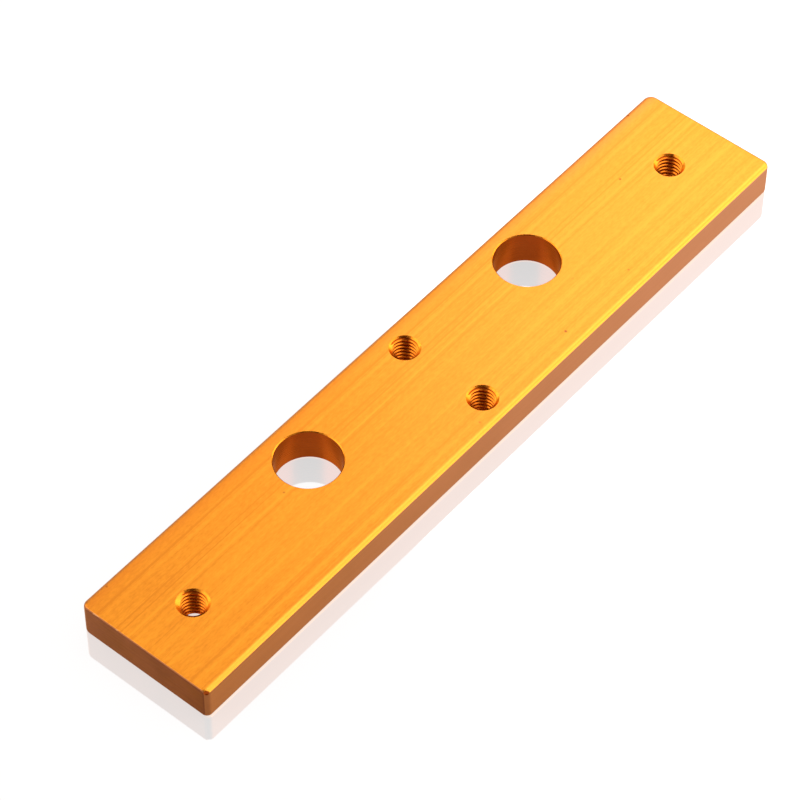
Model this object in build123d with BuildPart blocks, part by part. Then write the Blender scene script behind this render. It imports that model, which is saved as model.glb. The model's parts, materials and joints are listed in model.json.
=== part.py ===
from build123d import *

import os

# Flat mounting block: one aluminium bar with plain bores and M3 tapped holes right through it.
#
# Millimetres. The origin is the centre of the underside. +X runs along the bar, +Y points to the
# long edge that the plain bores lie nearer, and +Z points up out of the top face.

# ---- the bar ----
bar_length = 88.0
bar_width = 16.0
bar_thickness = 4.0
corner_radius = 0.8  # the upright corners
edge_radius = 0.4  # the edges around the top face and the underside

# ---- plain bores, side by side along the bar ----
bore_diameter = 7.0
bore_spacing = 34.0  # centre to centre
bore_edge_distance = 5.0  # from each centre to the +Y long edge
bore_rim_break = 0.15  # chamfer on both rims

# ---- M3 coarse tapped holes, cut at the size of their tap drill ----
tap_drill_diameter = 2.5
tap_mouth_diameter = 3.3  # outside of the 45 degree countersink on both faces
end_tap_inset = 7.0  # from each end face to the hole near it
cross_tap_inset = 3.0  # from each long edge to the hole near it

# ---- what follows from the sizes above ----
bore_offset = bar_width / 2 - bore_edge_distance
end_tap_x = bar_length / 2 - end_tap_inset
cross_tap_y = bar_width / 2 - cross_tap_inset
tap_mouth_chamfer = (tap_mouth_diameter - tap_drill_diameter) / 2


with BuildPart() as mounting_block:
    # The bar: its outline with rounded corners, raised to its thickness.
    with BuildSketch() as outline:
        Rectangle(bar_length, bar_width)
        fillet(outline.vertices(), radius=corner_radius)
    extrude(amount=bar_thickness)

    # The edges around both broad faces are rounded over.
    broad_faces = mounting_block.faces().filter_by(Axis.Z)
    fillet(broad_faces.edges(), radius=edge_radius)

    # The plain bores, with a fine break on each rim.
    with Locations((0, bore_offset, bar_thickness)):
        with GridLocations(bore_spacing, 0, 2, 1):
            Hole(radius=bore_diameter / 2)
    bore_rims = mounting_block.edges(Select.LAST).filter_by(GeomType.CIRCLE)
    chamfer(bore_rims, length=bore_rim_break)

    # The tapped holes: on the centre line near each end, and across the middle of the bar.
    with Locations((0, 0, bar_thickness)):
        with Locations((-end_tap_x, 0), (end_tap_x, 0), (0, -cross_tap_y), (0, cross_tap_y)):
            Hole(radius=tap_drill_diameter / 2)
    tap_rims = mounting_block.edges(Select.LAST).filter_by(GeomType.CIRCLE)
    chamfer(tap_rims, length=tap_mouth_chamfer)

mounting_block.part.label = "mounting_block"

os.makedirs("parts", exist_ok=True)
export_step(mounting_block.part, "parts/mounting_block.step")
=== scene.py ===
# %% [markdown]
# # A gold-anodised mounting bar
#
# The object is one flat bar of drawn aluminium, anodised gold. Two plain bores and four M3 tapped
# holes go right through it. There is nothing to assemble, so this lesson is about three things that
# make a plain bar look real: edges that catch light, threads that are really cut, and a drawn metal
# finish with lines that run the whole length of the stock.
#
# The first cell loads the CAD model. Everything made below is in metres and in the same frame:
# +X along the bar, +Y across it, +Z up, and the origin under the middle of the bar.

# %% Load the CAD frame
import json
import math

import bmesh
import bpy
from mathutils import Matrix, Vector


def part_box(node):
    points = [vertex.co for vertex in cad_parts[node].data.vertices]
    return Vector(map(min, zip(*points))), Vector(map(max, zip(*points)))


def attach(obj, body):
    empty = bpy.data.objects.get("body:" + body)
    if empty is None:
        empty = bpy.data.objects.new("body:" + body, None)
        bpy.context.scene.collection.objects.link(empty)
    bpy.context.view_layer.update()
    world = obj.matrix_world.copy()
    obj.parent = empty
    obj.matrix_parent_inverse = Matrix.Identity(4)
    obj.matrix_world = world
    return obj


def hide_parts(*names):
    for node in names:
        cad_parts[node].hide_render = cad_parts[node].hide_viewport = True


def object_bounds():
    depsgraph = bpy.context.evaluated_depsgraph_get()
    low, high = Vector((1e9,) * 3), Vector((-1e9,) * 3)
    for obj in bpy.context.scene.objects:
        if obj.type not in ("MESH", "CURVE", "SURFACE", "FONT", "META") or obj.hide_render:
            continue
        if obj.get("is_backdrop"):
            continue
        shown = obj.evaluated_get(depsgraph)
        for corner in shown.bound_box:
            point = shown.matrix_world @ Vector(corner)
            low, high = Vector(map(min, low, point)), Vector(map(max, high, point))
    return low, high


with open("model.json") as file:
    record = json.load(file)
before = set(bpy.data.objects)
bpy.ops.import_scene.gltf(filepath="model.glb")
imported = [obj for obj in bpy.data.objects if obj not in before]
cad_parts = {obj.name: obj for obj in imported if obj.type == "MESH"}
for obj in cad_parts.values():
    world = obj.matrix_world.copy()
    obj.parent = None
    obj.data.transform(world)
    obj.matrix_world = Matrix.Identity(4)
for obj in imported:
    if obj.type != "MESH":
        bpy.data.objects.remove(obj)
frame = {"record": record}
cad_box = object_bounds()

MM = 0.001  # sizes below are written in millimetres
NODE = "mounting_block"
low, high = [Vector(corner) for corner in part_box(NODE)]
size = high - low
centre = (low + high) / 2
print("bar", [round(side / MM, 2) for side in size], "mm")

# %% [markdown]
# ## Where the holes are
#
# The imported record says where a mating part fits: each bore with its radius, and each pattern of
# tapped holes with its spacing. Reading the places from there keeps the looks and the CAD in step.
# Small breaks on edges and rims aren't in the record, so they are named where they are made.

# %% Read the holes from the record
mounts = {mount["name"]: mount for mount in frame["record"]["mounts"]}
bore_radius = mounts["bore_plus_x"]["dims"]["r_mm"] * MM
bore_places = [Vector(mounts[name]["pos_m"]) for name in ("bore_minus_x", "bore_plus_x")]
end_tap_x = mounts["end_taps"]["dims"]["spacing_x_mm"] / 2 * MM
cross_tap_y = mounts["cross_taps"]["dims"]["spacing_y_mm"] / 2 * MM
tap_places = [(-end_tap_x, 0), (end_tap_x, 0), (0, -cross_tap_y), (0, cross_tap_y)]
tap_drill_radius = mounts["end_taps"]["dims"]["hole_r_mm"] * MM
print("bores at x", [round(place.x / MM, 2) for place in bore_places], "radius", bore_radius / MM)
print("taps at", [(round(x / MM, 2), round(y / MM, 2)) for x, y in tap_places])

# %% [markdown]
# ## The camera
#
# A small part is best seen from well back through a long lens, which keeps its long edges nearly
# parallel. The camera is placed by how far round, how high and how far away it stands from the point
# that it looks at. It is made first, because every later choice is judged through it.

# %% Place the camera
look_at = Vector((-4.213, 2.084, 2.0)) * MM
camera_distance = 351.81 * MM
camera_turn = math.radians(-50.315)  # round the bar from its -Y side
camera_height = math.radians(50.424)  # above the floor
camera_roll = math.radians(0.387)

bpy.ops.object.select_all(action="DESELECT")
bpy.ops.object.camera_add()
camera = bpy.context.object
camera.name = "camera"
camera.data.lens = 159.51
camera.data.sensor_width = 36
camera.data.clip_start = 0.01
away = Vector((
    math.sin(camera_turn) * math.cos(camera_height),
    -math.cos(camera_turn) * math.cos(camera_height),
    math.sin(camera_height),
))
facing = (-away).to_track_quat("-Z", "Y").to_matrix().to_4x4()
rolled = facing @ Matrix.Rotation(camera_roll, 4, "Z")
camera.matrix_world = Matrix.Translation(look_at + away * camera_distance) @ rolled
bpy.context.scene.camera = camera
print("camera at", [round(v / MM, 1) for v in camera.matrix_world.translation], "mm")

# %% [markdown]
# ## Helpers for working by hand
#
# Operators act on whatever is selected, so these helpers keep the selection small and known: one
# clears it, one opens a piece in edit mode with all of it selected, and one with only its wanted edges
# or faces. Others move a piece's placing or modifiers into its mesh, and measure what came out.

# %% Selection and modifier helpers
def deselect_all():
    if bpy.context.object and bpy.context.object.mode != "OBJECT":
        bpy.ops.object.mode_set(mode="OBJECT")
    bpy.ops.object.select_all(action="DESELECT")


def activate(piece):
    deselect_all()
    piece.select_set(True)
    bpy.context.view_layer.objects.active = piece


def edit_whole(piece):
    """Opens a piece in edit mode with all of it selected."""
    activate(piece)
    bpy.ops.object.mode_set(mode="EDIT")
    bpy.ops.mesh.select_all(action="SELECT")


def edit_only(piece, kind, wanted):
    """Opens a piece in edit mode with only its wanted edges (EDGE) or faces (FACE) selected."""
    activate(piece)
    bpy.ops.object.mode_set(mode="EDIT")
    bpy.ops.mesh.select_mode(type=kind)
    bpy.ops.mesh.select_all(action="DESELECT")
    mesh = bmesh.from_edit_mesh(piece.data)
    for part in mesh.edges if kind == "EDGE" else mesh.faces:
        if wanted(part):
            part.select_set(True)
    bmesh.update_edit_mesh(piece.data)


def place_in_mesh(piece):
    activate(piece)
    bpy.ops.object.transform_apply(location=True, rotation=True, scale=True)


def apply_modifiers(piece):
    activate(piece)
    for modifier in list(piece.modifiers):
        bpy.ops.object.modifier_apply(modifier=modifier.name)


def near(a, b):
    return abs(a - b) < 0.005 * MM


def measure(piece):
    mesh = bmesh.new()
    mesh.from_mesh(piece.data)
    open_edges = sum(not edge.is_manifold for edge in mesh.edges)
    volume = mesh.calc_volume(signed=True) / MM**3
    print(f"{piece.name}: {len(mesh.faces)} faces, {open_edges} open edges, {volume:.2f} cubic mm")
    mesh.free()

# %% [markdown]
# ## The blank
#
# Flat bar comes drawn to size with its long edges softly rounded. Then it is cut to length, its
# corners are rounded by hand, each a little differently, and its sawn ends get a light deburring. So
# the edges differ: the long ones roll off slowly from the flat, and the end ones are crisper.
#
# A cube is added at the bar's size, and its four upright edges are bevelled in edit mode. For the
# rims a Bevel modifier is better, because it can read a weight from each edge. The long edges get the
# whole width, the end edges half of it, and the edges round each corner a weight in between.
# A profile above 0.5 keeps closer to the flat and turns more quickly in the middle, as drawn edges do.

# %% Model the blank
# radius in mm of each upright corner, by its side along X and its side across Y
corner_radii = {(-1, -1): 0.65, (1, -1): 0.8, (1, 1): 0.95, (-1, 1): 0.85}
corner_steps = 8

deselect_all()
bpy.ops.mesh.primitive_cube_add(size=1, location=centre, scale=size)
bar = bpy.context.object
bar.name = "anodised_bar"
place_in_mesh(bar)


def middle_of(edge):
    return (edge.verts[0].co + edge.verts[1].co) / 2


def corner_of(point):
    return (1 if point.x > 0 else -1, 1 if point.y > 0 else -1)


def is_upright(edge):
    a, b = [corner.co for corner in edge.verts]
    return near(a.x, b.x) and near(a.y, b.y)


def is_rim(edge):
    a, b = [corner.co for corner in edge.verts]
    return near(a.z, b.z)


for corner, radius in corner_radii.items():
    edit_only(bar, "EDGE", lambda edge: is_upright(edge) and corner_of(middle_of(edge)) == corner)
    bpy.ops.mesh.bevel(offset=radius * MM, segments=corner_steps, profile=0.5, clamp_overlap=False)
    deselect_all()
measure(bar)

# %% Weigh the rim edges and roll them off
edge_roll = 0.6 * MM
edge_profile = 0.6
roll_steps = 12
end_weight = 0.5


def roll_weight(edge):
    """1 for an edge along X, end_weight for an edge along Y, and in between round a corner."""
    a, b = [corner.co for corner in edge.verts]
    along = (b - a).normalized()
    turned = math.atan2(abs(along.y), abs(along.x)) / (math.pi / 2)
    return round(1 + (end_weight - 1) * turned, 3)


edit_only(bar, "EDGE", is_rim)
rim = [edge for edge in bmesh.from_edit_mesh(bar.data).edges if edge.select]
weights = sorted({roll_weight(edge) for edge in rim})
for weight in weights:
    edit_only(bar, "EDGE", lambda edge: is_rim(edge) and roll_weight(edge) == weight)
    bpy.ops.transform.edge_bevelweight(value=weight)
deselect_all()
print("roll weights:", weights)

roll = bar.modifiers.new("roll", "BEVEL")
roll.width = edge_roll
roll.segments = roll_steps
roll.profile = edge_profile
roll.limit_method = "WEIGHT"
roll.use_clamp_overlap = False
roll.miter_outer = "MITER_SHARP"
apply_modifiers(bar)
measure(bar)

# %% [markdown]
# ## Materials are named before they are made
#
# Each cutting tool below carries the finish that its cut should have, and a Boolean set to transfer
# materials hands it to the new faces. So the finishes need names now. Their nodes come later. The blank
# itself has three of them, one gold in a lit copy and two darker, painted-shade copies, and each of its
# faces takes one by the way that it faces.

# %% Name the finishes
drawn_gold = bpy.data.materials.new("drawn_gold")
edge_shade_gold = bpy.data.materials.new("edge_shade_gold")
sawn_shade_gold = bpy.data.materials.new("sawn_shade_gold")
bore_shade_gold = bpy.data.materials.new("bore_shade_gold")
rim_gold = bpy.data.materials.new("rim_gold")
tapped_gold = bpy.data.materials.new("tapped_gold")
groove_shade_gold = bpy.data.materials.new("groove_shade_gold")

blank_finishes = [drawn_gold, edge_shade_gold, sawn_shade_gold]
for finish in blank_finishes:
    bar.data.materials.append(finish)


def finish_for(normal):
    """The darkest painted shade on the ends, a lighter painted shade where a face leans to a side or to an
    end, and the drawn gold on the flats.
    """
    if abs(normal.x) > 0.9:
        return sawn_shade_gold
    if abs(normal.z) < 0.5 or abs(normal.x) > 0.45:
        return edge_shade_gold
    return drawn_gold


for face in bar.data.polygons:
    face.material_index = blank_finishes.index(finish_for(face.normal))
for slot, finish in enumerate(blank_finishes):
    print(finish.name, sum(face.material_index == slot for face in bar.data.polygons), "faces")

# %% [markdown]
# ## Drilling the plain bores
#
# A hole is cut as a machinist cuts it: by a tool that passes right through. The drill is a cylinder,
# and its two end faces are extruded and widened into 45 degree flares, so that the same cut breaks
# both rims. A Boolean modifier then takes the tool away from the bar.

# %% Helpers for cutting
clear = 0.5 * MM  # how far a tool passes beyond a face


def copy_to(tool, place, turn=0):
    deselect_all()
    copy = tool.copy()
    copy.data = tool.data.copy()
    bpy.context.collection.objects.link(copy)
    copy.rotation_euler.z = math.radians(turn)
    copy.location = (place[0], place[1], 0)
    place_in_mesh(copy)
    return copy


def cut_away(tools):
    deselect_all()
    for tool in tools:
        tool.select_set(True)
    bpy.context.view_layer.objects.active = tools[0]
    bpy.ops.object.join()
    tool = bpy.context.object
    measure(tool)
    cut = bar.modifiers.new("cut", "BOOLEAN")
    cut.operation = "DIFFERENCE"
    cut.solver = "EXACT"
    cut.material_mode = "TRANSFER"
    cut.object = tool
    apply_modifiers(bar)
    bpy.data.objects.remove(tool)
    measure(bar)

# %% Make the drill
bore_rim_break = 0.09 * MM
drill_sides = 128


def flare_end(tool, at_top, reach):
    """Extrudes one end face outwards by reach, and widens it by as much, for a 45 degree flare."""
    up = 1 if at_top else -1
    edit_only(tool, "FACE", lambda face: face.normal.z * up > 0.9)
    bpy.ops.mesh.extrude_region_move(TRANSFORM_OT_translate={"value": (0, 0, reach * up)})
    wider = 1 + reach / bore_radius
    bpy.ops.transform.resize(value=(wider, wider, 1), center_override=(0, 0, 0))
    deselect_all()


deselect_all()
bpy.ops.mesh.primitive_cylinder_add(
    vertices=drill_sides, radius=bore_radius, depth=size.z - 2 * bore_rim_break, location=(0, 0, centre.z)
)
bore_drill = bpy.context.object
bore_drill.name = "bore_drill"
place_in_mesh(bore_drill)
flare_end(bore_drill, True, bore_rim_break + clear)
flare_end(bore_drill, False, bore_rim_break + clear)
bore_drill.data.materials.append(bore_shade_gold)
bore_drill.data.materials.append(rim_gold)
for face in bore_drill.data.polygons:
    is_flare = abs(face.normal.z) > 0.5
    face.material_index = 1 if is_flare else 0
measure(bore_drill)

# %% Drill the bores
cut_away([copy_to(bore_drill, place) for place in bore_places])
bpy.data.objects.remove(bore_drill)

# %% [markdown]
# ## Tapping the threads
#
# An M3 thread rises 0.5 mm a turn. A bump texture could fake it, but the light in a tapped hole comes
# from real crests and grooves, so it is cut for real. The tool is a tap. The outline of one tooth is
# a chain of edges, drawn by extruding a single vertex: a flat crest, a flank leaning 30 degrees, a
# narrow root, and a flank back. A Screw modifier winds it up through the bar, and vertices where one
# turn meets the next are merged.
#
# The wound chain is open at both ends. A Boolean wants a closed tool, so each open rim is extruded
# and merged at its middle.

# %% Wind one tap
thread_major_radius = 1.5 * MM
thread_pitch = 0.5 * MM
crest = thread_pitch / 4
root = thread_pitch / 8
flank = (thread_pitch - crest - root) / 2
thread_minor_radius = tap_drill_radius + 0.02 * MM  # a tap opens its drilled hole a touch
thread_depth = thread_major_radius - thread_minor_radius
bright_flank_share = 0.5  # of each flank, from the crest outwards, keeps the bright gold; the rest is painted groove shade
spare_turns = 2  # beyond each face of the bar
turns = math.ceil(size.z / thread_pitch) + 2 * spare_turns
start_z = low.z - spare_turns * thread_pitch
tap_sides = 48


def draw_tooth():
    """One tooth's outline, a chain of edges that starts on the crest and climbs one pitch."""
    deselect_all()
    bpy.ops.mesh.primitive_plane_add(size=crest, location=(thread_minor_radius, 0, start_z))
    tooth = bpy.context.object
    place_in_mesh(tooth)
    edit_whole(tooth)
    bpy.ops.mesh.select_mode(type="VERT")
    bpy.ops.mesh.merge(type="CENTER")
    near_crest, near_root = bright_flank_share, 1 - bright_flank_share
    steps = [
        (0, crest),
        (thread_depth * near_crest, flank * near_crest),
        (thread_depth * near_root, flank * near_root),
        (0, root),
        (-thread_depth * near_root, flank * near_root),
        (-thread_depth * near_crest, flank * near_crest),
    ]
    for outward, upward in steps:
        bpy.ops.mesh.extrude_region_move(TRANSFORM_OT_translate={"value": (outward, 0, upward)})
    deselect_all()
    return tooth


def close_rim(piece, at_top):
    """Extrudes an open rim in place and merges the new edge at its middle, which makes a cap."""
    def on_this_rim(edge):
        middle_z = (edge.verts[0].co.z + edge.verts[1].co.z) / 2
        return edge.is_boundary and (middle_z > centre.z) == at_top
    edit_only(piece, "EDGE", on_this_rim)
    bpy.ops.mesh.extrude_region_move()
    bpy.ops.mesh.merge(type="CENTER")
    deselect_all()


def wind_tap():
    tap = draw_tooth()
    screw = tap.modifiers.new("wind", "SCREW")
    screw.axis = "Z"
    screw.angle = math.tau
    screw.screw_offset = thread_pitch
    screw.iterations = turns
    screw.steps = tap_sides
    screw.render_steps = tap_sides
    apply_modifiers(tap)
    edit_whole(tap)
    bpy.ops.mesh.remove_doubles(threshold=0.003 * MM)
    close_rim(tap, True)
    close_rim(tap, False)
    edit_whole(tap)
    bpy.ops.mesh.normals_make_consistent(inside=False)
    deselect_all()
    return tap


tap = wind_tap()
tap.name = "tap"
tap.data.materials.append(tapped_gold)
tap.data.materials.append(groove_shade_gold)
# painted shade: the deep brown groove finish goes on the outer part of each flank, the root and the
# upright crest faces
for face in tap.data.polygons:
    reach = face.center.xy.length - thread_minor_radius
    stands_upright = abs(face.normal.z) < 0.3
    face.material_index = 1 if stands_upright or reach > bright_flank_share * thread_depth else 0
measure(tap)

# %% [markdown]
# ## Four threads from one tap
#
# The same tap makes all four holes. Each copy gets its own mesh and its own turn about its axis,
# because no two threads start at the same angle. Then a countersink opens each mouth a little, which
# takes away the thread's thin first turn and leaves the groove running out at the rim. It was held by
# hand, so no mouth is quite as wide as the next.

# %% Cut the threads
tap_starts = [34, 38, 47, 40]  # degrees
cut_away([copy_to(tap, place, turn) for place, turn in zip(tap_places, tap_starts)])
bpy.data.objects.remove(tap)

# %% Countersink their mouths
# the radius in mm of each hole's mouth, and the angle in degrees between the countersink's sides
top_mouths, top_angle = [1.68, 1.66, 1.66, 1.65], 104
bottom_mouths, bottom_angle = [1.85, 1.75, 1.75, 1.75], 90
cone_sides = 96


def make_countersink(mouth_radius, point_angle, at_top):
    """A cone that opens a mouth to mouth_radius, with point_angle degrees between its sides."""
    steepness = math.tan(math.radians(point_angle) / 2)
    narrow = tap_drill_radius - 0.15 * MM  # the cone's small end, inside the hole
    wide = mouth_radius + clear * steepness
    mouth_depth = (mouth_radius - narrow) / steepness
    middle = high.z + (clear - mouth_depth) / 2 if at_top else low.z - (clear - mouth_depth) / 2
    deselect_all()
    bpy.ops.mesh.primitive_cone_add(
        vertices=cone_sides, radius1=narrow if at_top else wide, radius2=wide if at_top else narrow,
        depth=mouth_depth + clear, location=(0, 0, middle),
    )
    cone = bpy.context.object
    place_in_mesh(cone)
    cone.data.materials.append(rim_gold)
    return cone


for at_top, mouths, angle in ((True, top_mouths, top_angle), (False, bottom_mouths, bottom_angle)):
    cones = []
    for place, mouth in zip(tap_places, mouths):
        cone = make_countersink(mouth * MM, angle, at_top)
        cones.append(copy_to(cone, place))
        bpy.data.objects.remove(cone)
    cut_away(cones)

# %% [markdown]
# ## One knock
#
# The bar took a knock on one top corner after it was made. A small ball pushed into the corner
# leaves the same dent, so one is cut away there. It sits a little off the corner, because a Boolean
# can fail where two surfaces touch exactly.

# %% Knock the corner
knock_radius = 0.5 * MM
off_the_corner = Vector((-0.02, -0.03, -0.07)) * MM
knock_place = Vector((low.x, low.y, high.z)) + off_the_corner
deselect_all()
bpy.ops.mesh.primitive_ico_sphere_add(subdivisions=5, radius=knock_radius, location=knock_place)
knock = bpy.context.object
# the dent takes the deep brown of the bore walls: painted shade in the dent
knock.data.materials.append(bore_shade_gold)
place_in_mesh(knock)
cut_away([knock])

# %% [markdown]
# ## Smooth curves and flat flats
#
# Curved faces are shaded smooth and hard edges stay hard, by angle. On its own that lets the rounded
# edges pull the shading of the broad faces round with them. A Weighted Normal modifier gives the
# large faces the say, so the flats stay flat up to where the roll-off starts.

# %% Shade the bar
sharp_from = math.radians(28)
edit_whole(bar)
bpy.ops.mesh.remove_doubles(threshold=0.0005 * MM)
activate(bar)
bpy.ops.object.shade_smooth_by_angle(angle=sharp_from)
weighted = bar.modifiers.new("flat_flats", "WEIGHTED_NORMAL")
weighted.mode = "FACE_AREA"
weighted.weight = 50
weighted.keep_sharp = True
apply_modifiers(bar)

measure(bar)
print("finishes:", [slot.material.name for slot in bar.material_slots])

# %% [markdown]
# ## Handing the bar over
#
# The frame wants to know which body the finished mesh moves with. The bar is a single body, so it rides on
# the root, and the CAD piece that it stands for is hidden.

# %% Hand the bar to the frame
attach(bar, "root")
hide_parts(NODE)

# %% [markdown]
# ## Building materials from nodes
#
# A node tree is easier to read when each node takes one line. These helpers add a node with its plain
# values, join two sockets, and start a group with its named sockets. Textures read Object
# coordinates, which are turned into millimetres from the bar's origin, so a pattern stays put on the
# metal and its sizes read like sizes on the bar.

# %% Helpers for node trees
def add_node(tree, kind, settings=None, **values):
    node = tree.nodes.new(kind)
    for name, value in (settings or {}).items():
        setattr(node, name, value)
    for name, value in values.items():
        node.inputs[name.replace("_", " ")].default_value = value
    return node


def join(tree, source, target):
    """Links a socket to target, or writes a plain value into it."""
    if isinstance(source, bpy.types.NodeSocket):
        tree.links.new(source, target)
    else:
        target.default_value = source


def math_node(tree, operation, *values):
    """A Math node. Each value is a number, or a socket to join."""
    node = add_node(tree, "ShaderNodeMath", {"operation": operation})
    for slot, value in enumerate(values):
        join(tree, value, node.inputs[slot])
    return node.outputs[0]


def fade(tree, value, start, end, low_value=0.0, high_value=1.0):
    """Turns a value's range from start to end into a soft step."""
    node = add_node(tree, "ShaderNodeMapRange", {"interpolation_type": "SMOOTHSTEP"})
    join(tree, value, node.inputs["Value"])
    node.inputs["From Min"].default_value = start
    node.inputs["From Max"].default_value = end
    node.inputs["To Min"].default_value = low_value
    node.inputs["To Max"].default_value = high_value
    return node.outputs["Result"]


def mix_colours(tree, amount, first, second):
    """The first colour at an amount of 0, the second at 1. Each is three numbers, or a socket."""
    node = add_node(tree, "ShaderNodeMix", {"data_type": "RGBA"})
    join(tree, amount, node.inputs[0])
    for slot, colour in ((6, first), (7, second)):
        is_socket = isinstance(colour, bpy.types.NodeSocket)
        join(tree, colour if is_socket else (*colour, 1), node.inputs[slot])
    return node.outputs[2]

# %% Helpers for groups
def new_group(name, inputs, outputs):
    group = bpy.data.node_groups.new(name, "ShaderNodeTree")
    for label, start in inputs:
        socket = group.interface.new_socket(label, in_out="INPUT", socket_type="NodeSocketFloat")
        socket.default_value = start
    for label in outputs:
        group.interface.new_socket(label, in_out="OUTPUT", socket_type="NodeSocketFloat")
    return group, group.nodes.new("NodeGroupInput").outputs, group.nodes.new("NodeGroupOutput").inputs


def use_group(tree, group, **values):
    node = tree.nodes.new("ShaderNodeGroup")
    node.node_tree = group
    for name, value in values.items():
        node.inputs[name.replace("_", " ")].default_value = value
    return node.outputs


def tell(name, tree):
    print(name, "has", len(tree.nodes), "nodes")

# %% Helpers for patterns on the bar
def stretched_coordinates(tree, stretch):
    """Object coordinates in millimetres, squeezed along each axis by stretch."""
    place = tree.nodes.new("ShaderNodeTexCoord")
    scaled = add_node(tree, "ShaderNodeVectorMath", {"operation": "MULTIPLY"})
    join(tree, place.outputs["Object"], scaled.inputs[0])
    scaled.inputs[1].default_value = [side / MM for side in stretch]
    return scaled.outputs["Vector"]


def millimetres(tree):
    """The X, Y and Z of a point on the bar, in millimetres from the bar's origin."""
    apart = tree.nodes.new("ShaderNodeSeparateXYZ")
    join(tree, stretched_coordinates(tree, (1, 1, 1)), apart.inputs["Vector"])
    return apart.outputs


def add_noise(tree, stretch, scale, detail, roughness=0.5):
    """Noise in squeezed coordinates. Its scale, in patches per millimetre, is a number or a socket."""
    node = add_node(tree, "ShaderNodeTexNoise", Detail=detail, Roughness=roughness)
    join(tree, stretched_coordinates(tree, stretch), node.inputs["Vector"])
    join(tree, scale, node.inputs["Scale"])
    return node.outputs["Fac"]


def per(tree, width):
    """How many of a width, given in millimetres by a socket, go into one millimetre."""
    return math_node(tree, "DIVIDE", 1.0, width)

# %% [markdown]
# ## Draw lines
#
# Bar stock is pulled through a die, and the die leaves fine lines that run the whole length. Noise
# makes such lines when its coordinates are squeezed hard along X: it then changes quickly across the
# bar and hardly at all along it. Two sizes of line are mixed, because real ones differ in width.
# The lines also come and go slowly along the bar, so they are multiplied by a broader noise.

# %% Group: draw lines
draw_lines, given, made = new_group(
    "draw_lines", [("Line Width", 0.3), ("Fading", 0.5)], ["Lines", "Fine Lines"]
)
finer = 3.1  # how many fine lines go into one broad line
broad_scale = per(draw_lines, given["Line Width"])
fine_scale = math_node(draw_lines, "MULTIPLY", broad_scale, finer)
broad = add_noise(draw_lines, (0.0012, 1, 1), broad_scale, detail=3, roughness=0.6)
fine = add_noise(draw_lines, (0.003, 1, 1), fine_scale, detail=2, roughness=0.6)

# %% Let the draw lines come and go
patch = add_noise(draw_lines, (0.4, 1.6, 1.6), 0.12, detail=1)
strength = fade(draw_lines, patch, 0.35, 0.62)
steady_share = math_node(draw_lines, "SUBTRACT", 1.0, given["Fading"])
fading_share = math_node(draw_lines, "MULTIPLY", strength, given["Fading"])
share = math_node(draw_lines, "ADD", steady_share, fading_share)
for noise, label in ((broad, "Lines"), (fine, "Fine Lines")):
    centred = math_node(draw_lines, "SUBTRACT", noise, 0.5)
    scaled = math_node(draw_lines, "MULTIPLY", centred, share)
    join(draw_lines, math_node(draw_lines, "ADD", scaled, 0.5), made[label])
tell("draw_lines", draw_lines)

# %% [markdown]
# ## Single die lines
#
# A nick in the die, or a grain stuck in it, draws one line along the whole bar, always at the same
# place across it. The group below makes such a line: it is 1 at its place across the bar, and falls
# to 0 within its width. A noise along the bar lets it weaken here and there.

# %% Group: one die line
die_line, given, made = new_group("die_line", [("Across", 0.0), ("Width", 0.15)], ["Line"])
off_line = math_node(die_line, "SUBTRACT", millimetres(die_line)["Y"], given["Across"])
off_line = math_node(die_line, "DIVIDE", math_node(die_line, "ABSOLUTE", off_line), given["Width"])
breaks = add_noise(die_line, (0.5, 1, 1), 0.3, detail=3)
weakened = fade(die_line, breaks, 0.25, 0.55, 0.55, 1.0)
join(die_line, math_node(die_line, "MULTIPLY", fade(die_line, off_line, 1.0, 0.0), weakened), made["Line"])
tell("die_line", die_line)

# %% [markdown]
# ## Etched grain
#
# Before anodising the bar is etched, which leaves a very fine orange peel between the lines. It is
# too small to see as a shape, but it breaks up the gloss.

# %% Group: etched grain
etched_grain, given, made = new_group("etched_grain", [("Grain Size", 0.2)], ["Grain"])
scale = per(etched_grain, given["Grain Size"])
join(etched_grain, add_noise(etched_grain, (0.35, 1, 1), scale, detail=2, roughness=0.6), made["Grain"])
tell("etched_grain", etched_grain)

# %% [markdown]
# ## Clouding and pits
#
# An anodic film takes its dye a little unevenly, in soft clouds some millimetres across. It is also
# dotted with small pits, where dirt or porosity kept the film from growing. The clouds are plain
# noise. A pit shows where a Voronoi texture's distance to its nearest point is very small, and the
# random colour of each cell decides whether it has one and how deep. The points fill space, so a flat
# face would miss most of them: a height share of 0 brings them all into its plane.

# %% Group: clouding
film_clouds, given, made = new_group("film_clouds", [("Cloud Size", 6.0)], ["Clouds"])
scale = per(film_clouds, given["Cloud Size"])
join(film_clouds, add_noise(film_clouds, (0.6, 1, 1), scale, detail=3, roughness=0.55), made["Clouds"])
tell("film_clouds", film_clouds)

# %% Group: pits
pits, given, made = new_group(
    "pits", [("Spacing", 2.0), ("Size", 0.12), ("Share", 0.3), ("Height Share", 1.0)], ["Pits"]
)
spread = millimetres(pits)
flattened = pits.nodes.new("ShaderNodeCombineXYZ")
join(pits, spread["X"], flattened.inputs["X"])
join(pits, spread["Y"], flattened.inputs["Y"])
join(pits, math_node(pits, "MULTIPLY", spread["Z"], given["Height Share"]), flattened.inputs["Z"])
cells = add_node(pits, "ShaderNodeTexVoronoi", Randomness=1)
join(pits, flattened.outputs["Vector"], cells.inputs["Vector"])
join(pits, per(pits, given["Spacing"]), cells.inputs["Scale"])

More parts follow.
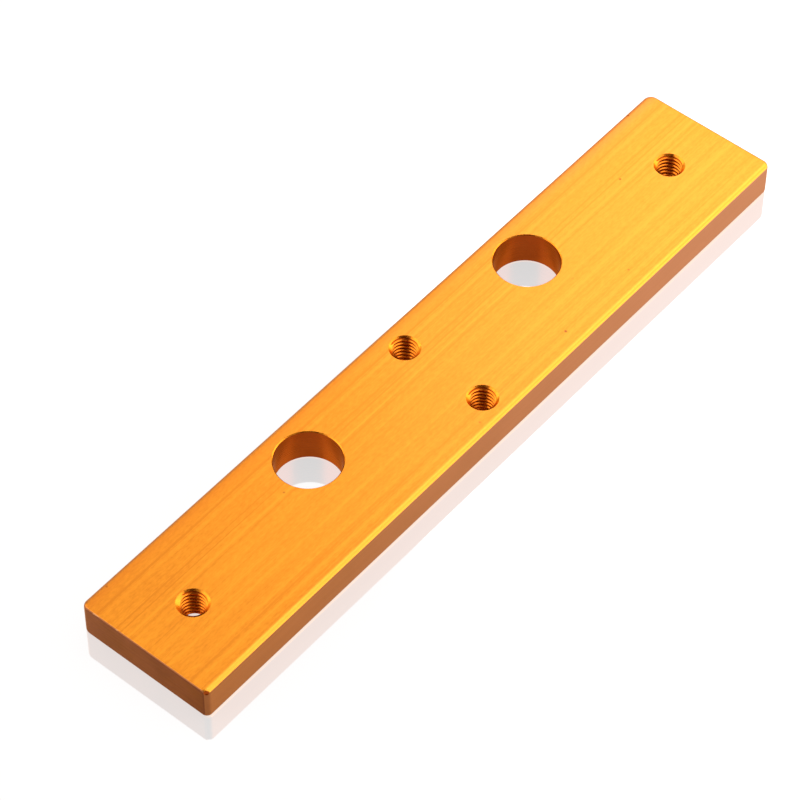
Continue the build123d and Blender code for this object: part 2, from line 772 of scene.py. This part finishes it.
# %% Choose the pits and give each its depth
reach = math_node(pits, "DIVIDE", given["Size"], given["Spacing"])
inside = math_node(pits, "DIVIDE", cells.outputs["Distance"], reach)
depth = fade(pits, inside, 1.0, 0.3)
tone = add_node(pits, "ShaderNodeSeparateColor")
join(pits, cells.outputs["Color"], tone.inputs["Color"])
chosen = math_node(pits, "LESS_THAN", tone.outputs["Red"], given["Share"])
weight = math_node(pits, "MULTIPLY", chosen, tone.outputs["Green"])
join(pits, math_node(pits, "MULTIPLY", depth, weight), made["Pits"])
tell("pits", pits)

# %% [markdown]
# ## Tool marks
#
# A drill, a tap and a countersink all turn, and leave rings round the hole. Inside a hole the rings
# lie one above another, so noise that changes only with height draws them.

# %% Group: turned rings
turned_rings, given, made = new_group("turned_rings", [("Ring Width", 0.1)], ["Rings"])
scale = per(turned_rings, given["Ring Width"])
rings = add_noise(turned_rings, (0.05, 0.05, 1), scale, detail=3, roughness=0.6)
join(turned_rings, rings, made["Rings"])
tell("turned_rings", turned_rings)

# %% [markdown]
# ## Painted light that shifts along the bar
#
# The broad faces and the long edges alike are painted paler towards the +X end and deeper towards the -X
# end: painted light and shade, as the lamps' reflection in them brightens along the bar. This group is
# their shared measure of how far along the bar a point lies. Its soft step begins and ends beyond the bar,
# so the colour keeps changing right up to both ends.

# %% Group: along the bar
along_bar, given, made = new_group("along_bar", [], ["Share"])
overshoot = 1.3
share = fade(along_bar, millimetres(along_bar)["X"], low.x * overshoot / MM, high.x * overshoot / MM)
join(along_bar, share, made["Share"])
tell("along_bar", along_bar)

# %% [markdown]
# ## A start for every gold finish
#
# Anodised aluminium is dyed oxide over bright metal, so it shades as a coloured metal, and on the
# outside under a thin clear coat. Every finish on the bar starts so, and then gets its own marks.
# The specular tint colours what the metal reflects at a grazing look. Hole rims and threads are all
# seen that way, so theirs is redder and they have no coat, which would add a white sheen.

# %% Start a gold finish
def start_gold(material, roughness, coat=0.3, grazing_tint=(0.9, 0.6, 0.35)):
    material.use_nodes = True
    tree = material.node_tree
    shader = tree.nodes["Principled BSDF"]
    shader.inputs["Metallic"].default_value = 1.0
    shader.inputs["Roughness"].default_value = roughness
    shader.inputs["Coat Weight"].default_value = coat
    shader.inputs["Coat Roughness"].default_value = 0.18
    shader.inputs["Specular Tint"].default_value = (*grazing_tint, 1)
    return tree, shader


def relief(tree, shader, height, distance):
    bump = add_node(tree, "ShaderNodeBump", Strength=1.0, Distance=distance)
    join(tree, height, bump.inputs["Height"])
    join(tree, bump.outputs["Normal"], shader.inputs["Normal"])


def mixture(tree, *parts):
    """Adds up (value, weight) pairs around 0.5."""
    total = None
    for value, weight in parts:
        centred = math_node(tree, "SUBTRACT", value, 0.5)
        scaled = math_node(tree, "MULTIPLY", centred, weight)
        total = scaled if total is None else math_node(tree, "ADD", total, scaled)
    return math_node(tree, "ADD", total, 0.5)

# %% [markdown]
# ## The drawn faces
#
# Both broad faces keep the skin of the drawn stock. Its colour swings a little with the lines and the
# clouds, the lines have a trace of real depth, and the pits are darker and deeper.
#
# Bands follow the long edges, and they are painted light and shade. Towards +Y the colour is painted
# deeper, a little at first and then more, and this painted shade turns redder towards the +X end. The
# roll-off itself is painted darker there, and along the -Y edge a painted highlight makes it brighter.
# Each band is a fade across the bar, and its last number says how much of the band's colour is mixed in
# where it is full.

# %% Place the die lines
# place across the bar in mm, width in mm, and how much lighter or darker than the rest
dark_lines = [(6.0, 0.15, 1.5), (3.5, 0.15, 0.5), (2.9, 0.14, 0.8), (1.6, 0.18, 0.6), (-5.8, 0.25, 0.55)]
light_lines = [(2.0, 0.16, 1.2), (5.5, 0.3, 0.3), (-3.2, 0.2, 0.3), (-6.4, 0.28, 0.2)]


def lay_die_lines(tree, tone):
    for sign, lines in ((-1, dark_lines), (1, light_lines)):
        for across, width, amount in lines:
            line = use_group(tree, die_line, Across=across, Width=width)["Line"]
            tone = math_node(tree, "ADD", tone, math_node(tree, "MULTIPLY", line, sign * amount))
    return tone


print(len(dark_lines), "dark and", len(light_lines), "light die lines")

# %% Finish: drawn gold, its colour
tree, shader = start_gold(drawn_gold, 0.36)
lines = use_group(tree, draw_lines, Line_Width=0.35, Fading=0.6)
clouds = use_group(tree, film_clouds, Cloud_Size=7.0)["Clouds"]
grain = use_group(tree, etched_grain, Grain_Size=0.22)["Grain"]
dots = use_group(tree, pits, Spacing=2.8, Size=0.22, Share=0.5, Height_Share=0.0)["Pits"]
tone = mixture(tree, (lines["Lines"], 2.2), (lines["Fine Lines"], 1.2), (clouds, 0.9), (grain, 1.6))
tone = lay_die_lines(tree, tone)
# painted light and shade along the bar: deeper towards -X, paler towards +X
minus_x = mix_colours(tree, tone, (0.62, 0.188, 0.006), (0.77, 0.270, 0.012))
plus_x = mix_colours(tree, tone, (0.88, 0.290, 0.014), (0.96, 0.375, 0.029))
colour = mix_colours(tree, use_group(tree, along_bar)["Share"], minus_x, plus_x)

# %% Drawn gold: painted shade and a painted highlight along its edges, and the pits
place = millimetres(tree)
far_end = fade(tree, place["X"], 5, high.x / MM)
# painted shade beside the +Y edge: deeper at -X, redder towards +X
shade = mix_colours(tree, far_end, (0.60, 0.15, 0.008), (1.0, 0.23, 0.06))
broad_shade = fade(tree, place["Y"], 4.2, 7.0, 0.0, 0.12)
rolled_shade = fade(tree, place["Y"], 6.4, 7.4, 0.0, 0.3)
colour = mix_colours(tree, math_node(tree, "ADD", broad_shade, rolled_shade), colour, shade)
# painted highlight along the -Y roll-off
painted_edge_highlight = fade(tree, place["Y"], -7.3, -7.6, 0.0, 0.5)
colour = mix_colours(tree, painted_edge_highlight, colour, (1.0, 0.45, 0.035))
# painted shade on the +Y roll-off
painted_edge_shade = fade(tree, place["Y"], 7.5, 7.8, 0.0, 0.6)
colour = mix_colours(tree, painted_edge_shade, colour, (0.34, 0.13, 0.04))
colour = mix_colours(tree, dots, colour, (0.32, 0.07, 0.006))
join(tree, colour, shader.inputs["Base Color"])

# %% Drawn gold: its gloss and its relief
polish = mixture(tree, (lines["Fine Lines"], 1.0), (clouds, 0.4))
join(tree, fade(tree, polish, 0.2, 0.8, 0.32, 0.41), shader.inputs["Roughness"])
height = mixture(tree, (lines["Lines"], 1.0), (lines["Fine Lines"], 0.6), (grain, 0.3))
height = math_node(tree, "SUBTRACT", height, dots)
relief(tree, shader, height, 0.003 * MM)
tell("drawn_gold", tree)

# %% [markdown]
# ## The long edges
#
# The narrow long sides are drawn too. They are painted a duller and browner gold than the broad faces,
# which is painted shade. The same groups make them, with broader and weaker lines.
#
# This painted shade also covers the upright corners and the roll-off over each sawn end, and over the -X
# end the saw left a row of small burrs. They are noise, kept only where three fades meet: near that end,
# on its +Y half, and just under the top.

# %% Finish: edge gold
tree, shader = start_gold(edge_shade_gold, 0.42, coat=0.15)
lines = use_group(tree, draw_lines, Line_Width=0.5, Fading=0.7)
clouds = use_group(tree, film_clouds, Cloud_Size=5.0)["Clouds"]
dots = use_group(tree, pits, Spacing=1.8, Size=0.12, Share=0.25)["Pits"]
tone = mixture(tree, (lines["Lines"], 0.8), (lines["Fine Lines"], 0.3), (clouds, 0.8))
# painted shade: a darker, browner gold than the broad faces, also painted deeper towards -X and paler
# towards +X
minus_x = mix_colours(tree, tone, (0.30, 0.095, 0.026), (0.41, 0.140, 0.044))
plus_x = mix_colours(tree, tone, (0.50, 0.210, 0.110), (0.61, 0.260, 0.145))
colour = mix_colours(tree, use_group(tree, along_bar)["Share"], minus_x, plus_x)
colour = mix_colours(tree, dots, colour, (0.22, 0.06, 0.02))

# %% Edge gold: the burrs, its gloss and its relief
place = millimetres(tree)
burrs = fade(tree, add_noise(tree, (1, 1, 1), 1.4, detail=2), 0.52, 0.62)
end_x, top_z = low.x / MM, high.z / MM
# each axis, with where its fade starts and where it is full
burr_place = [("X", end_x + 0.5, end_x + 0.3), ("Y", 0, 5), ("Z", top_z - 0.4, top_z - 0.2)]
for axis, start, full in burr_place:
    burrs = math_node(tree, "MULTIPLY", burrs, fade(tree, place[axis], start, full))
colour = mix_colours(tree, burrs, colour, (0.55, 0.24, 0.09))
join(tree, colour, shader.inputs["Base Color"])
join(tree, fade(tree, lines["Fine Lines"], 0.2, 0.8, 0.38, 0.48), shader.inputs["Roughness"])
relief(tree, shader, lines["Lines"], 0.002 * MM)
tell("edge_shade_gold", tree)

# %% [markdown]
# ## The sawn ends
#
# The ends were sawn and deburred before anodising. A sawn face is rough on a small scale. The ends are
# painted the darkest brown on the bar, which is painted shade, a little lighter towards +Y. Faint saw
# lines run across it.

# %% Finish: sawn gold
tree, shader = start_gold(sawn_shade_gold, 0.5, coat=0.05)
clouds = use_group(tree, film_clouds, Cloud_Size=3.0)["Clouds"]
dots = use_group(tree, pits, Spacing=1.2, Size=0.12, Share=0.3)["Pits"]
saw = add_noise(tree, (1, 0.06, 1), 4.0, detail=2)
tone = mixture(tree, (saw, 0.6), (clouds, 1.2))
# painted shade: the darkest brown on the bar, a little lighter towards +Y
minus_y = mix_colours(tree, tone, (0.15, 0.042, 0.018), (0.24, 0.072, 0.034))
plus_y = mix_colours(tree, tone, (0.19, 0.060, 0.028), (0.29, 0.100, 0.054))
across = fade(tree, millimetres(tree)["Y"], low.y / MM, high.y / MM)
colour = mix_colours(tree, across, minus_y, plus_y)
colour = mix_colours(tree, dots, colour, (0.10, 0.025, 0.01))
join(tree, colour, shader.inputs["Base Color"])
join(tree, fade(tree, saw, 0.2, 0.8, 0.44, 0.58), shader.inputs["Roughness"])
relief(tree, shader, saw, 0.004 * MM)
tell("sawn_shade_gold", tree)

# %% [markdown]
# ## The bored walls, the broken rims and the threads
#
# Inside the bores the drill left rings, and the walls are painted a deep brown: painted shade inside the
# holes. The rims are cut by a countersink that chattered a little, and are brighter. In a thread the inner
# half of each flank keeps a bright gold, and the flat crests and the grooves are painted deep brown:
# painted shade in the thread. That contrast is what makes a thread read as one.

# %% Finish: bored gold
tree, shader = start_gold(bore_shade_gold, 0.3, coat=0.05)
rings = use_group(tree, turned_rings, Ring_Width=0.25)["Rings"]
clouds = use_group(tree, film_clouds, Cloud_Size=2.5)["Clouds"]
tone = mixture(tree, (rings, 0.6), (clouds, 1.0))
# painted shade: a deep brown inside the bores
colour = mix_colours(tree, tone, (0.31, 0.043, 0.003), (0.45, 0.083, 0.010))
join(tree, colour, shader.inputs["Base Color"])
join(tree, fade(tree, rings, 0.2, 0.8, 0.24, 0.36), shader.inputs["Roughness"])
relief(tree, shader, rings, 0.002 * MM)
tell("bore_shade_gold", tree)

# %% Finish: rim gold
tree, shader = start_gold(rim_gold, 0.28, coat=0.0, grazing_tint=(0.85, 0.28, 0.10))
rings = use_group(tree, turned_rings, Ring_Width=0.06)["Rings"]
chatter = use_group(tree, film_clouds, Cloud_Size=0.8)["Clouds"]
tone = mixture(tree, (rings, 0.5), (chatter, 1.6))
colour = mix_colours(tree, tone, (0.75, 0.18, 0.010), (1.00, 0.37, 0.030))
join(tree, colour, shader.inputs["Base Color"])
join(tree, fade(tree, chatter, 0.3, 0.7, 0.20, 0.34), shader.inputs["Roughness"])
relief(tree, shader, mixture(tree, (rings, 0.2), (chatter, 1.5)), 0.01 * MM)
tell("rim_gold", tree)

# %% Finish: tapped gold
tree, shader = start_gold(tapped_gold, 0.26, coat=0.0, grazing_tint=(0.85, 0.28, 0.10))
rings = use_group(tree, turned_rings, Ring_Width=0.05)["Rings"]
clouds = use_group(tree, film_clouds, Cloud_Size=0.9)["Clouds"]
tone = mixture(tree, (rings, 0.5), (clouds, 1.0))
colour = mix_colours(tree, tone, (0.90, 0.17, 0.010), (1.00, 0.32, 0.026))
join(tree, colour, shader.inputs["Base Color"])
join(tree, fade(tree, rings, 0.2, 0.8, 0.20, 0.32), shader.inputs["Roughness"])
relief(tree, shader, rings, 0.002 * MM)
tell("tapped_gold", tree)

# %% Finish: groove gold
tree, shader = start_gold(groove_shade_gold, 0.35, coat=0.0, grazing_tint=(0.8, 0.25, 0.1))
clouds = use_group(tree, film_clouds, Cloud_Size=0.7)["Clouds"]
# painted shade: the deep brown of a thread's grooves and crest faces
colour = mix_colours(tree, clouds, (0.30, 0.040, 0.002), (0.48, 0.080, 0.004))
join(tree, colour, shader.inputs["Base Color"])
tell("groove_shade_gold", tree)

# %% [markdown]
# ## The floor
#
# The bar stands on a sheet of glossy white acrylic. Such a sheet shows three things at once: its
# white body, soft shadows on it, and a faint mirror image of whatever stands there. Part of the
# body's white comes from an emission that only the camera, reflections and refractions see, so it
# lights nothing. The rest is mostly a smooth gloss for the image, with some diffuse white that takes
# shadows. The sheet lies a hair below the bar, because two faces in one plane would flicker.

# %% Lay the floor
floor_gap = 0.02 * MM
floor_radius = 1.5  # metres

deselect_all()
bpy.ops.mesh.primitive_circle_add(
    vertices=96, radius=floor_radius, fill_type="NGON", location=(0, 0, low.z - floor_gap)
)
floor = bpy.context.object
floor.name = "floor"
floor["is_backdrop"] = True
print("floor at z", round(floor.location.z / MM, 3), "mm")

# %% Finish: white acrylic
own_white = 0.66  # how much of the sheet is seen as white, whatever the light
gloss_share = 0.8  # of the rest

acrylic = bpy.data.materials.new("white_acrylic")
acrylic.use_nodes = True
tree = acrylic.node_tree
tree.nodes.clear()
surface = tree.nodes.new("ShaderNodeOutputMaterial")
light_path = tree.nodes.new("ShaderNodeLightPath")
glow = add_node(tree, "ShaderNodeEmission", Strength=1.0)
body = add_node(tree, "ShaderNodeBsdfDiffuse", Color=(0.9, 0.9, 0.9, 1))
gloss = add_node(tree, "ShaderNodeBsdfAnisotropic", Color=(1, 1, 1, 1), Roughness=0.05)
lit = add_node(tree, "ShaderNodeMixShader", Fac=gloss_share)
whole = tree.nodes.new("ShaderNodeMixShader")
seen = math_node(tree, "MAXIMUM", light_path.outputs["Is Camera Ray"], light_path.outputs["Is Glossy Ray"])
seen = math_node(tree, "MAXIMUM", seen, light_path.outputs["Is Transmission Ray"])
join(tree, math_node(tree, "MULTIPLY", seen, own_white), whole.inputs["Fac"])
join(tree, body.outputs[0], lit.inputs[1])
join(tree, gloss.outputs[0], lit.inputs[2])
join(tree, lit.outputs[0], whole.inputs[1])
join(tree, glow.outputs[0], whole.inputs[2])
join(tree, whole.outputs[0], surface.inputs["Surface"])
floor.data.materials.append(acrylic)
tell("white_acrylic", tree)

# %% [markdown]
# ## The room
#
# Metal has no look of its own: it shows what stands around it. So the studio is plain but not even.
# The room is dim and warm overhead, and pale towards the horizon. Seen from low down, the bar's top
# and the floor mirror the room near its horizon, and the paleness there keeps them bright. Seen from
# the camera's height they mirror what stands higher, and a dim room leaves that to the lamps.

# %% Make the room
world = bpy.data.worlds.new("studio")
bpy.context.scene.world = world
world.use_nodes = True
tree = world.node_tree
upward = tree.nodes.new("ShaderNodeSeparateXYZ")
join(tree, tree.nodes.new("ShaderNodeTexCoord").outputs["Generated"], upward.inputs["Vector"])
overhead = fade(tree, upward.outputs["Z"], 0.35, 0.58)
room = mix_colours(tree, overhead, (0.75, 0.75, 0.75), (0.08, 0.038, 0.024))
join(tree, room, tree.nodes["Background"].inputs["Color"])
tell("studio", tree)

# %% [markdown]
# ## The lamps
#
# Two softboxes hang over the bar, one on each side of the camera, with a dark gap between them where
# the camera looks through. They light the threads and edges from both sides, and the gap draws a dark
# line down each hole. A panel stands beyond the bar. The broad top and the glossy floor mirror it
# towards the camera, so it sets how bright both of them look. A strip on the right and a low panel on
# the left draw a line of light along the rolled edges.
#
# Each lamp is turned from straight overhead, first to a side and then away from the camera, and is
# given the brightness that its face shows.

# %% Helper for lamps
ahead = Vector((-away.x, -away.y, 0)).normalized()
to_right = ahead.cross(Vector((0, 0, 1)))
lamp_distance = 1.0  # metres from the bar


def hang_lamp(name, to_side, onward, width, length, brightness):
    """An area lamp over the bar, turned to_side degrees to the right and onward degrees away."""
    side, on = math.radians(to_side), math.radians(onward)
    sideways = Vector((0, 0, 1)) * math.cos(side) + to_right * math.sin(side)
    back = sideways * math.cos(on) + ahead * math.sin(on)
    up = ahead * math.cos(on) - sideways * math.sin(on)
    deselect_all()
    bpy.ops.object.light_add(type="AREA")
    lamp = bpy.context.object
    lamp.name = name
    lamp.data.shape = "RECTANGLE"
    lamp.data.size = width
    lamp.data.size_y = length
    lamp.data.energy = brightness * width * length * math.pi
    turned = Matrix((up.cross(back), up, back)).transposed().to_4x4()
    lamp.matrix_world = Matrix.Translation(back * lamp_distance) @ turned
    print(name, "at", [round(v, 2) for v in back * lamp_distance], "m")

# %% Light the studio
hang_lamp("right_softbox", to_side=38, onward=14, width=1.28, length=1.45, brightness=1.85)
hang_lamp("left_softbox", to_side=-48, onward=4, width=1.12, length=1.2, brightness=1.9)
hang_lamp("back_panel", to_side=0, onward=42, width=0.85, length=0.72, brightness=0.98)
hang_lamp("right_strip", to_side=80, onward=2, width=0.35, length=1.2, brightness=2.1)
hang_lamp("low_panel", to_side=-42, onward=63, width=0.5, length=0.4, brightness=0.7)

# %% [markdown]
# ## Print the sizes and finish
#
# The looks must not change the object's size, so both boxes are kept side by side: the CAD model's
# and the finished one's.

# %% Keep the sizes and finish
bpy.context.scene.view_settings.view_transform = "Standard"
visual_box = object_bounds()
sizes = {"cad": [list(corner) for corner in cad_box], "visual": [list(corner) for corner in visual_box]}
for name, corners in sizes.items():
    print(name, [[round(v / MM, 3) for v in corner] for corner in corners])
